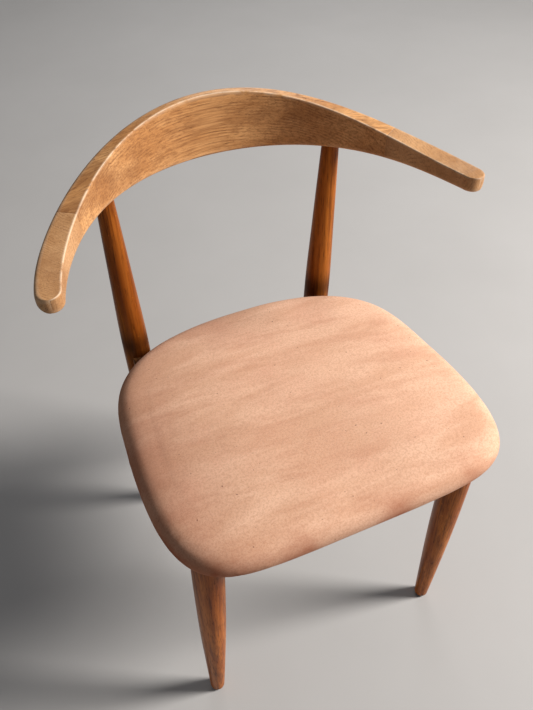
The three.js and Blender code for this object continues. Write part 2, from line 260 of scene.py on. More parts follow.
def makeOak(name, look):
    # sawn oak under satin lacquer: growth rings round a pith, dark pores, paler arrises that are partly real
    # wear and partly a painted highlight
    oak = Finish(name, {"Coat Weight": 0.05, "Coat Roughness": 0.25, "Specular IOR Level": 0.22})
    grain = oak.move(oak.place, rotation=(look["roll"], 0, look["turn"]))
    sway = oak.noise(oak.move(grain, scale=(2.4, 10, 10)), 1.6, 3, 0.55)
    fromPith = oak.move(grain, location=look["pith"])
    across = oak.axis(fromPith, "Y")
    upwards = oak.axis(fromPith, "Z")
    radius = (across * across + upwards * upwards) ** 0.5 + (sway - 0.5) * look["sway"]
    phase = (radius / look["ringGap"]).fraction()
    late = phase.between(0.42, 0.86) * (1 - phase.between(0.90, 1.0))
    uneven = oak.noise(oak.move(grain, scale=(4, 70, 70)), 1.3, 3).between(0.36, 0.66)
    rings = late * uneven
    pores = oak.noise(oak.move(grain, scale=(34, 950, 950)), 1, 3, 0.62).between(0.53, 0.68)
    fibre = oak.noise(oak.move(grain, scale=(8, 360, 360)), 1, 4, 0.68)
    flecks = oak.noise(oak.move(grain, scale=(190, 60, 900)), 1, 2, 0.5).between(0.62, 0.74)
    patches = oak.noise(oak.move(grain, scale=(5, 18, 18)), 1.2, 4, 0.62)
    tone = oak.blend(patches.between(0.32, 0.70), look["light"], look["middle"])
    tone = oak.blend(rings * look["ringDepth"], tone, look["dark"])
    tone = oak.blend(fibre.between(0.42, 0.66) * look["fibre"], tone, look["dark"])
    tone = oak.blend(pores * (0.34 + 0.50 * rings), tone, look["pore"])
    tone = oak.blend(flecks * look["flecks"], tone, look["dark"])
    patina = oak.noise(oak.move(grain, scale=(6, 13, 20)), 1.0, 5, 0.66).between(0.44, 0.68)
    tone = oak.blend(patina * look["patina"], tone, look["dark"])
    # paler arrises: partly real edge wear, partly a painted highlight along the edges
    rubbed = oak.noise(oak.place, 60.0, 3, 0.6).between(0.30, 0.58)
    wornAndHighlight = oak.painted("arris") * rubbed
    tone = oak.blend(wornAndHighlight * 0.5, tone, look["wornAndHighlight"])
    gloss = 0.38 + 0.12 * patches + 0.10 * pores + 0.08 * wornAndHighlight
    height = 1 - pores * 0.8 - rings * 0.30
    return oak.close(tone, gloss, height, 0.00012, 0.55)


def makeStain(name, look):
    # hardwood under a brown stain: long fine streaks, pores, and a dark band of painted shade where one is
    # given
    stain = Finish(name, {"Coat Weight": 0.03, "Coat Roughness": 0.12, "Specular IOR Level": 0.06})

    def drawn(wide, long):
        scale = tuple(long if axis == look["along"] else wide for axis in range(3))
        return stain.move(stain.place, scale=scale)

    streaks = stain.noise(drawn(300, 8), 1, 4, 0.62)
    figure = stain.noise(drawn(40, 3.4), 1.2, 4, 0.6, 0.7)
    pores = stain.noise(drawn(1200, 45), 1, 2).between(0.56, 0.70)
    chips = stain.noise(stain.place, 210.0, 1, 0.4).between(0.745, 0.775)
    tone = stain.blend(figure.between(0.32, 0.70), look["light"], look["middle"])
    tone = stain.blend(streaks.between(0.42, 0.70) * 0.60, tone, look["dark"])
    tone = stain.blend(pores * 0.55, tone, look["pore"])
    tone = stain.blend(chips * 0.7, tone, look["light"])
    gloss = 0.26 + 0.10 * figure + 0.14 * pores
    # painted shade: a dark band where the rear legs pass beside the pad, standing in for its shadow
    if look["padShadeBand"]:
        level = stain.axis(stain.place, "Z") + (figure - 0.5) * 0.016
        low, high = look["padShadeBand"]
        padShade = level.between(low, low + 0.05) * (1 - level.between(high - 0.040, high + 0.008))
        tone = stain.blend(padShade * 0.84, tone, look["pore"])
        gloss = gloss + 0.25 * padShade
    height = 1 - pores * 0.7 - streaks * 0.30
    return stain.close(tone, gloss, height, 0.0001, 0.5)


def makeSuede(name, look):
    # brushed microfibre: mottled nap, long strokes, a soiled lower edge and smudges of soil, painted shade
    # over the left side, and painted shade in the small fold
    suede = Finish(name, {"Roughness": 0.92, "Specular IOR Level": 0.06, "Sheen Weight": 0.05,
                          "Sheen Roughness": 0.4, "Sheen Tint": look["sheen"]})
    strokes = suede.move(suede.place, rotation=(0, 0, look["strokeTurn"]), scale=(4.5, 22, 22))
    brushed = suede.noise(strokes, 1.0, 4, 0.58, 0.6)
    clouds = suede.noise(suede.place, 8.0, 4, 0.58)
    mottle = suede.noise(suede.place, 420.0, 4, 0.75)
    nap = suede.noise(suede.place, 1100.0, 3, 0.7)
    specks = suede.noise(suede.place, 280.0, 1, 0.3).between(0.785, 0.81)
    tone = suede.blend(brushed.between(0.38, 0.64) * 0.80, look["light"], look["middle"])
    tone = suede.blend(clouds.between(0.46, 0.74) * 0.50, tone, look["rosy"])
    dusky = suede.noise(suede.move(strokes, scale=(2.2, 1.3, 1.3)), 1.0, 5, 0.68).between(0.47, 0.70)
    tone = suede.blend(dusky * 0.42, tone, look["dusk"])
    tone = suede.blend(mottle.between(0.44, 0.60) * 0.42, tone, look["dark"])
    tone = suede.blend(nap.between(0.36, 0.66) * 0.30, tone, look["pale"])
    tone = suede.blend(specks * 0.8, tone, look["speck"])
    smudge = suede.noise(suede.place, 30.0, 4, 0.62).between(0.40, 0.66)
    # painted shade over the pad's left side, mixed in one mask with real soil along the front and lower edge
    rubbed = suede.painted("rubbed")
    tone = suede.blend(rubbed * (0.72 + 0.28 * smudge), tone, look["soilAndShade"])
    # painted shade in the small fold
    tone = suede.blend(suede.painted("fold") * 0.9, tone, look["speck"])
    height = mottle * 0.55 + nap * 0.5 + brushed * 0.3
    return suede.close(tone, None, height, 0.0006, 0.40)


def makeQuiet(name, shader, light, dark, scale, gloss, depth=0.0001):
    # a plain surface: two tones of fine noise, and a bump to match
    quiet = Finish(name, shader)
    grainy = quiet.noise(quiet.move(quiet.place, scale=scale), 1, 3, 0.6)
    cloudy = quiet.noise(quiet.place, 22.0, 3, 0.6)
    tone = quiet.blend(grainy.between(0.3, 0.7) * 0.6 + cloudy * 0.4, light, dark)
    return quiet.close(tone, gloss + 0.12 * grainy, grainy, depth, 0.5)


print("finishes")
crestLook = {
    "light": (0.68, 0.360, 0.145), "middle": (0.49, 0.222, 0.074), "dark": (0.175, 0.060, 0.017),
    "pore": (0.070, 0.024, 0.008), "wornAndHighlight": (0.88, 0.72, 0.54), "ringGap": 0.0036, "ringDepth": 0.46,
    "fibre": 0.48, "sway": 0.022, "flecks": 0.34, "patina": 0.50,
    "pith": (0, -0.10, -0.47), "roll": 0.42, "turn": 0,
}
armLook = {**crestLook, "light": (0.60, 0.335, 0.155), "middle": (0.46, 0.230, 0.092),
           "dark": (0.235, 0.098, 0.036), "ringDepth": 0.34, "ringGap": 0.0030, "patina": 0.36,
           "fibre": 0.28}
armTurn = math.radians(66)
crestOak = makeOak("crestOak", crestLook)
armOak = {
    "Left": makeOak("leftArmOak", {**armLook, "turn": armTurn, "roll": 0.9, "pith": (0, 0.15, -0.6)}),
    "Right": makeOak("rightArmOak", {**armLook, "turn": -armTurn, "roll": -0.7, "pith": (0, -0.2, -0.6)}),
}
legLook = {"light": (0.52, 0.158, 0.022), "middle": (0.29, 0.066, 0.006),
           "dark": (0.080, 0.015, 0.002), "pore": (0.010, 0.002, 0.001), "padShadeBand": None, "along": 2}
frontStain = makeStain("frontLegStain", legLook)
# the rear legs get a band of painted shade, from 0.375 to 0.442 m up, where they pass the pad
rearStain = makeStain("rearLegStain", {
    **legLook, "light": (0.40, 0.125, 0.018), "middle": (0.22, 0.052, 0.006), "padShadeBand": (0.375, 0.442)})
frameLook = {"light": (0.30, 0.130, 0.048), "middle": (0.21, 0.082, 0.028),
             "dark": (0.11, 0.038, 0.013), "pore": (0.035, 0.011, 0.005), "padShadeBand": None}
frameStain = {"across": makeStain("acrossRailStain", {**frameLook, "along": 0}),
              "deep": makeStain("sideRailStain", {**frameLook, "along": 1})}
seatSuede = makeSuede("seatSuede", {
    "light": (0.76, 0.465, 0.312), "middle": (0.60, 0.325, 0.196), "rosy": (0.64, 0.312, 0.205),
    "dusk": (0.47, 0.200, 0.108),
    "dark": (0.40, 0.185, 0.105), "pale": (0.84, 0.59, 0.45), "speck": (0.12, 0.045, 0.028),
    "soilAndShade": (0.33, 0.092, 0.040), "sheen": (1.0, 0.84, 0.72), "strokeTurn": math.radians(-38)})
beechWood = makeQuiet("beechWood", {"Specular IOR Level": 0.4}, (0.68, 0.50, 0.32),
                      (0.55, 0.37, 0.22), (60, 400, 400), 0.55)
plyWood = makeQuiet("plyWood", {"Specular IOR Level": 0.35}, (0.70, 0.53, 0.35),
                    (0.52, 0.36, 0.21), (30, 30, 1500), 0.6)
dustCloth = makeQuiet("dustCloth", {"Specular IOR Level": 0.2}, (0.010, 0.010, 0.011),
                      (0.032, 0.031, 0.032), (900, 900, 900), 0.75, 0.0003)
screwSteel = makeQuiet("screwSteel", {"Metallic": 1.0}, (0.62, 0.60, 0.55),
                       (0.40, 0.38, 0.35), (700, 700, 700), 0.25)
glideNylon = makeQuiet("glideNylon", {"Specular IOR Level": 0.4}, (0.055, 0.040, 0.030),
                       (0.026, 0.019, 0.015), (300, 300, 300), 0.42)


# The curved rail: a crest between two arms. u runs from -1 to 1 along it, from left to right.

rail = {
    "middleY": 0.2124,
    "halfLength": 0.353,
    "heading": (1.728, -0.75, 0.46),  # radians, times u, u^3, u^5
    "top": (0.7248, -0.1475, 0.1128, -0.0183),  # times 1, u^2, u^4, u^6
    "depth": (0.0806, -0.186, 0.186, -0.0615),
    "width": (0.0127, 0.041, -0.027),
    "lean": (-0.0026, -0.0044, 0.0062),
    "backSwell": 0.12,
    "plainDepth": 0.022,
    "innerTop": 0.0015,
    "outerTop": 0.0055,
    "outerFoot": 0.0085,
    "innerFoot": 0.0045,
    "joint": 0.655,
    "jointGap": 0.00004,
    "jointEase": 0.00006,
    "armEnd": 0.972,
    "noseLength": 0.014,
    "noseBlunt": 0.85,
    "nosePinch": 0.12,
    "crestRings": 320,
    "armRings": 80,
    "cornerSteps": 7,
    "flat": (0.05, 0.16, 0.36, 0.64, 0.84, 0.95),
    "planSteps": 720,
    "nick": {"at": -0.305, "length": 0.0026, "depth": 0.0011},
}
noseTurns = (0.08, 0.16, 0.25, 0.34, 0.43, 0.52, 0.61, 0.70, 0.78, 0.85, 0.91, 0.96)


def evenPowers(terms, u):
    return sum(term * u ** (2 * index) for index, term in enumerate(terms))


def railPlan():
    middles = (np.arange(rail["planSteps"]) + 0.5) / rail["planSteps"]
    heading = middles * evenPowers(rail["heading"], middles)
    stride = rail["halfLength"] / rail["planSteps"]
    x = np.concatenate([[0], np.cumsum(np.cos(heading) * stride)])
    y = np.concatenate([[0], np.cumsum(np.sin(heading) * stride)])
    return x, rail["middleY"] + chair["shiftY"] - y


planX, planY = railPlan()
planU = np.linspace(0, 1, rail["planSteps"] + 1)


def railFrame(u):
    # the inner top edge, the ways along and outwards, and the section's sizes
    side = -1 if u < 0 else 1
    far = abs(u)
    heading = far * evenPowers(rail["heading"], far)
    edge = Vector((side * np.interp(far, planU, planX), np.interp(far, planU, planY),
                   evenPowers(rail["top"], far)))
    along = Vector((math.cos(heading), -side * math.sin(heading), 0))
    outward = Vector((side * math.sin(heading), math.cos(heading), 0))
    return edge, along, outward, [evenPowers(rail[key], far) for key in ("depth", "width", "lean")]


def roundedSection(corners):
    # points round a four-cornered section, each with how much of an arris it is
    points = []
    for index, (corner, radius, wearAndHighlight) in enumerate(corners):
        before, after = corners[index - 1], corners[(index + 1) % 4]
        enter = corner + (before[0] - corner).normalized() * radius
        leave = corner + (after[0] - corner).normalized() * radius
        for step in range(rail["cornerSteps"] + 1):
            t = step / rail["cornerSteps"]
            bend = enter * (1 - t) ** 2 + corner * 2 * t * (1 - t) + leave * t * t
            points.append((bend, wearAndHighlight * math.sin(math.pi * (0.15 + 0.7 * t))))
        reached = after[0] + (corner - after[0]).normalized() * after[1]
        points += [(leave.lerp(reached, t), 0) for t in rail["flat"]]
    return points


def railRing(u, nose=0.0, ease=0.0):
    edge, along, outward, (depth, width, lean) = railFrame(u)
    swell = rail["backSwell"] * max(0, depth - rail["plainDepth"])
    section = roundedSection([
        (Vector((ease, -ease)), rail["innerTop"], 1.0),
        (Vector((lean + ease, -depth + ease)), rail["innerFoot"], 0.25),
        (Vector((width + swell - ease, -depth + ease)), rail["outerFoot"], 0.1),
        (Vector((width - ease, -ease)), rail["outerTop"], 0.35),
    ])
    turn = nose * math.pi / 2
    squeeze = math.cos(turn) ** rail["noseBlunt"]
    advance = rail["noseLength"] * math.sin(turn) * (1 if u > 0 else -1)
    pinch = rail["nosePinch"] * (1 - squeeze) ** 2
    nick = rail["nick"]
    cut = nick["depth"] * max(0, 1 - abs(u - nick["at"]) * rail["halfLength"] / nick["length"])
    ring = []
    for point, wearAndHighlight in section:
        rise = (1 - pinch) * (point.y + depth / 2) - depth / 2 - cut * max(0, wearAndHighlight - 0.5)
        across = width / 2 + (point.x - width / 2) * squeeze
        ring.append((edge + outward * across + along * advance + Vector((0, 0, rise)), wearAndHighlight))
    return ring


def railPiece(name, start, end, steps, material, node):
    # a length of the rail, rounded off where it ends an arm
    rings = []
    if start == -rail["armEnd"]:
        rings += [railRing(start, nose) for nose in reversed(noseTurns)]
    else:
        rings.append(railRing(start, ease=rail["jointEase"]))
        start += rail["jointEase"] / rail["halfLength"]
    finish = end
    if end != rail["armEnd"]:
        finish -= rail["jointEase"] / rail["halfLength"]
    rings += [railRing(start + (finish - start) * step / steps) for step in range(steps + 1)]
    if end == rail["armEnd"]:
        rings += [railRing(end, nose) for nose in noseTurns]
    else:
        rings.append(railRing(end, ease=rail["jointEase"]))
    around = len(rings[0])
    vertices = [point for ring in rings for point, wearAndHighlight in ring]
    piece = makePiece(name, vertices, tubeFaces(len(rings), around), material, 60)
    # the arris mask, for real edge wear and a painted highlight
    arris = piece.data.attributes.new("arris", "FLOAT", "POINT")
    arris.data.foreach_set("value", [wearAndHighlight for ring in rings for point, wearAndHighlight in ring])
    place(piece, "rail_wood", node)


print("rail")
armStart = rail["joint"] + rail["jointGap"] / rail["halfLength"]
railPiece("crestRail", -rail["joint"], rail["joint"], rail["crestRings"], crestOak, "crest_rail")
railPiece("leftArm", -rail["armEnd"], -armStart, rail["armRings"], armOak["Left"], "arm_left")
railPiece("rightArm", armStart, rail["armEnd"], rail["armRings"], armOak["Right"], "arm_right")


# Turned legs

legs = {
    "footHeight": 0.0025,
    "frontFoot": (0.1775, -0.1602, 0),
    "frontHead": (0.1713, -0.1763, 0.42),
    "rearFoot": (0.133, 0.1879, 0),
    "rearJoint": 0.443,
    "rearSink": 0.004,  # how far a rear leg's top stands in the rail
    "seatSink": 0.0011,  # the front heads stop this far below the pad
    "reach": 0.026,  # the radius that the turning curves are drawn against
    "front": ((0, 0.0100), (0.24, 0.0139), (0.49, 0.0173), (0.76, 0.0191), (1, 0.0198)),
    "rear": ((0, 0.0105), (0.18, 0.0140), (0.41, 0.0176), (0.61, 0.0184), (0.80, 0.0152), (1, 0.0110)),
    "rings": 170,
    "around": 96,
    "footEase": 0.0045,
    "footDrop": 0.24,
}


def legTurning(name, radii, material):
    # a tree that turns a leg from foot to head
    turning = Growth(name)
    foot = turning.ask("Foot", "NodeSocketVector")
    head = turning.ask("Head", "NodeSocketVector")
    ease = turning.ask("Foot easing", "NodeSocketFloat")
    rings = turning.ask("Rings", "NodeSocketInt")
    around = turning.ask("Around", "NodeSocketInt")
    line = turning.node("GeometryNodeCurvePrimitiveLine", None, {"Start": foot, "End": head})
    axis = turning.node("GeometryNodeResampleCurve", None, {"Curve": line, "Count": rings})
    factor = turning.node("GeometryNodeSplineParameter", out="Factor")
    run = turning.node("GeometryNodeSplineParameter", out="Length")
    curve = turning.node("ShaderNodeFloatCurve", None, {"Value": factor})
    drawn = curve.socket.node.mapping
    points = drawn.curves[0].points
    points[0].location = (0, radii[0][1] / legs["reach"])
    points[1].location = (1, radii[-1][1] / legs["reach"])
    for along, radius in radii[1:-1]:
        points.new(along, radius / legs["reach"])
    drawn.update()
    eased = (run / ease).between(-1.0, 1.0) * legs["footDrop"] + (1 - legs["footDrop"])
    radius = curve * legs["reach"] * eased
    circle = turning.node("GeometryNodeCurvePrimitiveCircle", None, {"Resolution": around, "Radius": 1.0})
    skin = turning.node("GeometryNodeCurveToMesh", None, {
        "Curve": axis, "Profile Curve": circle, "Scale": radius, "Fill Caps": True})
    turning.close(skin, material)
    return turning


def railUnderside(u):
    edge, along, outward, (depth, width, lean) = railFrame(u)
    return edge + outward * (width / 2 + 0.001) - Vector((0, 0, depth))


print("legs")
turnings = {"front": legTurning("frontLegTurning", legs["front"], frontStain),
            "rear": legTurning("rearLegTurning", legs["rear"], rearStain)}
legAxes = {}
for word, side in sides:
    shift = Vector((0, chair["shiftY"], 0))
    frontFoot, frontHead, rearFoot = (
        Vector((side * legs[key][0], *legs[key][1:])) + shift
        for key in ("frontFoot", "frontHead", "rearFoot"))
    legAxes["front", word] = (frontFoot, frontHead)
    legAxes["rear", word] = (rearFoot, railUnderside(side * legs["rearJoint"]))

for (end, word), (foot, head) in legAxes.items():
    run = (head - foot).normalized()
    start = foot + run * (legs["footHeight"] / run.z)
    finish = head + run * legs["rearSink"] if end == "rear" else head
    leg = turnings[end].grow(f"{end}Leg{word}", {
        "Foot": start, "Head": finish, "Foot easing": legs["footEase"],
        "Rings": legs["rings"], "Around": legs["around"]})
    toSeat = seatPlace.inverted()
    for vertex in leg.data.vertices:
        vertex.co.z = max(vertex.co.z, legs["footHeight"])
        if end == "front":
            above = (toSeat @ vertex.co).z + legs["seatSink"]
            vertex.co.z -= max(0, above)
    smoothShade(leg.data)
    place(leg, "leg_wood", f"{end}_leg_{word.lower()}")

glide = {
    "profile": ((0, 0), (0.0064, 0), (0.0074, 0.0003), (0.0080, 0.0009), (0.0082, 0.0017),
                (0.0080, 0.0022), (0.0012, 0.0022), (0.0012, 0.0140), (0, 0.0146)),
    "around": 48,
}


def turnedBody(name, profile, around, at, material):
    # a profile of radius and height turned about a vertical line
    angles = [step / around * 2 * math.pi for step in range(around)]
    middle = profile[1:-1]
    vertices = [at + Vector((radius * math.cos(a), radius * math.sin(a), height))
                for radius, height in middle for a in angles]
    return makePiece(name, vertices, tubeFaces(len(middle), around), material)


for (end, word), (foot, head) in legAxes.items():
    piece = turnedBody(f"{end}Glide{word}", glide["profile"], glide["around"], foot, glideNylon)
    place(piece, "nylon", f"foot_glide_{end}_{word.lower()}")


# The seat frame, drawn in the seat's own tilted plane, where the pad's underside is z = 0

seatFrame = {
    "top": -0.0011, "depth": 0.048, "thickness": 0.020, "ease": 0.0013,
    "rearTop": -0.014, "rearDepth": 0.036, "rearForward": 0.010,
    "endInset": 0.0102, "gap": 0.0003,
    "blockReach": 0.084, "blockFlat": 0.016, "blockDepth": 0.028, "blockEase": 0.0009,
}


def axisAtDepth(key, depth):
    foot, head = (seatPlace.inverted() @ point for point in legAxes[key])
    return foot.lerp(head, (-depth - foot.z) / (head.z - foot.z))


def seatRail(name, startKey, endKey, top, depth, forward):
    # a rail between two legs. Gives the way that it runs
    start, finish = (axisAtDepth(key, depth / 2 - top) for key in (startKey, endKey))
    for point in (start, finish):
        point.y -= forward
    run = (finish - start).to_2d().normalized()
    square = Vector((-run.y, run.x)) * seatFrame["thickness"] / 2
    near = start.to_2d() + run * seatFrame["endInset"]
    far = finish.to_2d() - run * seatFrame["endInset"]
    outline = [near - square, far - square, far + square, near + square]
    piece = easedBlock(f"{name}SeatRail", outline, top - depth, top, seatFrame["ease"],
                       frameStain["across" if name in ("front", "rear") else "deep"])
    piece.data.transform(seatPlace)
    place(piece, "frame_wood", f"seat_rail_{name}")
    return run


def cornerBlock(key, firstRun, secondRun, forward):
    # a block in the corner by a leg, between two rails that run away from it
    corner = axisAtDepth(key, seatFrame["blockDepth"] / 2).to_2d()
    corner.y -= forward
    face = seatFrame["thickness"] / 2 + seatFrame["gap"]
    reach, flat = seatFrame["blockReach"], seatFrame["blockFlat"]
    steps = [(face, face), (reach, face), (reach, face + flat), (face + flat, reach), (face, reach)]
    outline = [corner + firstRun * a + secondRun * b for a, b in steps]
    if firstRun.cross(secondRun) < 0:
        outline.reverse()
    top = seatFrame["top"] - seatFrame["gap"]
    end, word = key
    piece = easedBlock(f"{end}Block{word}", outline, top - seatFrame["blockDepth"], top,
                       seatFrame["blockEase"], frameStain["across"])
    piece.data.transform(seatPlace)
    place(piece, "frame_wood", f"corner_block_{end}_{word.lower()}")


print("seat frame")
top, depth = seatFrame["top"], seatFrame["depth"]
frontRun = seatRail("front", ("front", "Left"), ("front", "Right"), top, depth, 0)
rearRun = seatRail("rear", ("rear", "Right"), ("rear", "Left"),
                   seatFrame["rearTop"], seatFrame["rearDepth"], seatFrame["rearForward"])
leftRun = seatRail("left", ("rear", "Left"), ("front", "Left"), top, depth, 0)
rightRun = seatRail("right", ("front", "Right"), ("rear", "Right"), top, depth, 0)
cornerBlock(("front", "Left"), frontRun, -leftRun, 0)
cornerBlock(("front", "Right"), -frontRun, rightRun, 0)
cornerBlock(("rear", "Right"), rearRun, -rightRun, seatFrame["rearForward"])
cornerBlock(("rear", "Left"), -rearRun, leftRun, seatFrame["rearForward"])


# Screws: countersunk heads with a cross recess, stood where the frame has them

screw = {"facets": 40, "rim": 0.0008, "cone": 0.0024, "coneEnd": 0.0019, "coneLift": 0.0007,
         "shank": 0.0018, "shankLift": 0.0012, "recess": (0.0009, 0.0046, 0.0030), "turns": 1.5}


def screwLine(node):
    # a screw's head point, and the way that it points
    points = np.array([vertex.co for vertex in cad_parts[node].data.vertices])
    middle = points.mean(axis=0)
    line = np.linalg.svd(points - middle)[2][0]
    along = (points - middle) @ line
    spread = np.linalg.norm(points - middle - np.outer(along, line), axis=1)
    if along[spread.argmax()] > 0:
        line, along = -line, -along
    return middle + line * along.min(), line


def screwSetting():
    # a tree that stands a screw on each point, turned by its own amount
    setting = Growth("screwSetting")
    points = setting.ask("Points", "NodeSocketGeometry")
    headRadius = setting.ask("Head radius", "NodeSocketFloat")
    length = setting.ask("Length", "NodeSocketFloat")
    seed = setting.ask("Seed", "NodeSocketInt")
    rim = setting.node("GeometryNodeMeshCylinder", None, {
        "Vertices": screw["facets"], "Radius": headRadius, "Depth": screw["rim"]})
    rim = setting.node("GeometryNodeTransform", None, {
        "Geometry": rim, "Translation": (0, 0, screw["rim"] / 2)})
    cone = setting.node("GeometryNodeMeshCone", None, {
        "Vertices": screw["facets"], "Radius Top": screw["coneEnd"], "Radius Bottom": headRadius,
        "Depth": screw["cone"]})
    cone = setting.node("GeometryNodeTransform", None, {
        "Geometry": cone, "Translation": (0, 0, screw["coneLift"])})
    shank = setting.node("GeometryNodeMeshCylinder", None, {
        "Vertices": screw["facets"] // 2, "Radius": screw["shank"], "Depth": length})
    lift = setting.node("ShaderNodeCombineXYZ", None, {"Z": length * 0.5 + screw["shankLift"]})
    shank = setting.node("GeometryNodeTransform", None, {"Geometry": shank, "Translation": lift})
    thin, long, deep = screw["recess"]
    slots = [setting.node("GeometryNodeMeshCube", None, {"Size": size})
             for size in ((thin, long, deep), (long, thin, deep))]
    head = setting.node("GeometryNodeMeshBoolean", {"operation": "UNION", "solver": "EXACT"},
                        {"Mesh 2": [rim, cone]})
    head = setting.node("GeometryNodeMeshBoolean", {"operation": "DIFFERENCE", "solver": "EXACT"},
                        {"Mesh 1": head, "Mesh 2": slots})
    whole = setting.node("GeometryNodeJoinGeometry", None, {"Geometry": [head, shank]})
    facing = setting.node("GeometryNodeInputNamedAttribute", {"data_type": "FLOAT_VECTOR"},
                          {"Name": "facing"})
    stood = setting.node("FunctionNodeAlignRotationToVector", {"axis": "Z"}, {"Vector": facing})
    spin = setting.node("FunctionNodeRandomValue", None, {"Min": 0.0, "Max": screw["turns"], "Seed": seed}, 1)
    spin = setting.node("ShaderNodeCombineXYZ", None, {"Z": spin})
    spin = setting.node("FunctionNodeEulerToRotation", None, {0: spin})
    turned = setting.node("FunctionNodeRotateRotation", {"rotation_space": "LOCAL"},
                          {"Rotation": stood, "Rotate By": spin})
    stands = setting.node("GeometryNodeInstanceOnPoints", None,
                          {"Points": points, "Instance": whole, "Rotation": turned})
    setting.close(stands, screwSteel)
    return setting


def setScrews(name, setting, nodes, headRadius, length, seed):
    lines = [screwLine(node) for node in nodes]
    mesh = bpy.data.meshes.new(name)
    mesh.from_pydata([tuple(point) for point, line in lines], [], [])
    facing = mesh.attributes.new("facing", "FLOAT_VECTOR", "POINT")
    facing.data.foreach_set("vector", np.array([line for point, line in lines]).ravel())
    piece = setting.grow(name, {"Head radius": headRadius, "Length": length, "Seed": seed}, mesh)
    smoothShade(piece.data, 30)
    place(piece, "steel", *nodes)


print("screws")
screws = screwSetting()
screwNodes = sorted(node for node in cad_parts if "screw" in node)
for name, start, headRadius, length, seed in (
        ("blockScrews", "block", 0.0040, 0.030, 3), ("seatScrews", "seat", 0.0044, 0.029, 8)):
    nodes = [node for node in screwNodes if node.startswith(start)]
    setScrews(name, screws, nodes, headRadius, length, seed)


# The pad: foam and board under one suede cover

pad = {
    "halfWidth": (0.2162, -0.0176, 0.0135),  # times 1, along, along^2
    "front": {"reach": 0.2032, "across": 6.7, "along": 1.95},
    "back": {"reach": 0.1907, "across": 2.3, "along": 3.34},
    "frontBow": 0.0063,
    # inset and height of the cover's line, from the middle of the underside to the crown
    "profile": ((0.150, 0), (0.100, 0), (0.060, 0), (0.034, 0), (0.018, 0), (0.0105, 0.0003),
                (0.0065, 0.0014), (0.0035, 0.0036), (0.0016, 0.0068), (0.0004, 0.0108), (0, 0.015),
                (0.0004, 0.0198), (0.0015, 0.0243), (0.0035, 0.0286), (0.0065, 0.0323), (0.0105, 0.0352),
                (0.0158, 0.0375), (0.022, 0.0391), (0.030, 0.0404), (0.043, 0.0419), (0.060, 0.0432),
                (0.085, 0.0446), (0.115, 0.0457), (0.150, 0.0464)),
    "crown": 0.0468,
    "shrink": 0.0016,
    "around": 288,
    "voxel": 0.005,
    "pressure": 4.0,
    "frames": 20,
    "cloth": {"quality": 6, "mass": 0.35, "tension_stiffness": 40, "compression_stiffness": 40,
              "shear_stiffness": 20, "bending_stiffness": 8},
    "cap": 0.0045,
    "evenings": 60,
    "drift": ((12, 0.0008), (30, 0.0003)),  # how fine, how deep
    "gathers": {"depth": 0.0007, "count": 90, "at": 0.196, "wide": 0.026},
    "fold": {"at": (0.190, -0.186, 0.012), "run": (0.62, 0.45, 0.64),
             "wide": 0.0016, "long": 0.008, "depth": 0.0016},
    # where the nap is darkened, by real soil along the front and lower edge and by painted shade on the left
    # side: start and width of each ramp
    "rub": {"side": (0.008, 0.034), "lip": (0.001, 0.007), "left": (0.06, 0.12), "front": (0.13, 0.05),
            "clean": (0.13, 0.04), "shade": (0.10, 0.115), "smears": 55},
}


def roundedPower(value, power):
    return np.sign(value) * np.abs(value) ** (2 / power)


def padRing(inset, around):
    angles = (np.arange(around) + 0.5) / around * 2 * math.pi
    front = np.sin(angles) < 0
    reach, acrossPower, alongPower = (
        np.where(front, pad["front"][key], pad["back"][key]) for key in ("reach", "across", "along"))
    along = roundedPower(np.sin(angles), alongPower)
    across = roundedPower(np.cos(angles), acrossPower)
    width, taper, belly = pad["halfWidth"]
    x = (width - inset + taper * along + belly * along ** 2) * across
    bow = np.where(front, pad["frontBow"] * (1 - across ** 2) * np.abs(along) ** 3, 0)
    return x, (reach - inset) * along - bow


def padForm(name, shrink):
    # the cover's closed shape, drawn in by shrink
    around = pad["around"]
    vertices = []
    for inset, height in pad["profile"]:
        x, y = padRing(inset + shrink, around)
        lift = height - shrink if height > pad["profile"][10][1] else height
        vertices += [Vector((a, b, max(lift, 0))) for a, b in zip(x, y)]
    rings = len(pad["profile"])
    faces = tubeFaces(rings, around, closed=False)
    low = len(vertices)
    high = low + 1
    last = (rings - 1) * around
    vertices += [Vector((0, 0, 0)), Vector((0, 0, pad["crown"] - shrink))]
    for step in range(around):
        after = (step + 1) % around
        faces.append((low, after, step))
        faces.append((high, last + step, last + after))
    return makePiece(name, vertices, faces, seatSuede)


def readPoints(mesh):
    points = np.empty(len(mesh.vertices) * 3)
    mesh.vertices.foreach_get("co", points)
    return points.reshape(-1, 3)


def evenOut(mesh, values, times):
    # spreads each point's value over its neighbours
    edges = np.empty(len(mesh.edges) * 2, dtype=np.int64)
    mesh.edges.foreach_get("vertices", edges)
    first, second = edges.reshape(-1, 2).T
    count = np.bincount(edges, minlength=len(values))[:, None]
    for _ in range(times):
        total = np.zeros_like(values)
        np.add.at(total, first, values[second])
        np.add.at(total, second, values[first])
        values = 0.35 * values + 0.65 * total / count
    return values


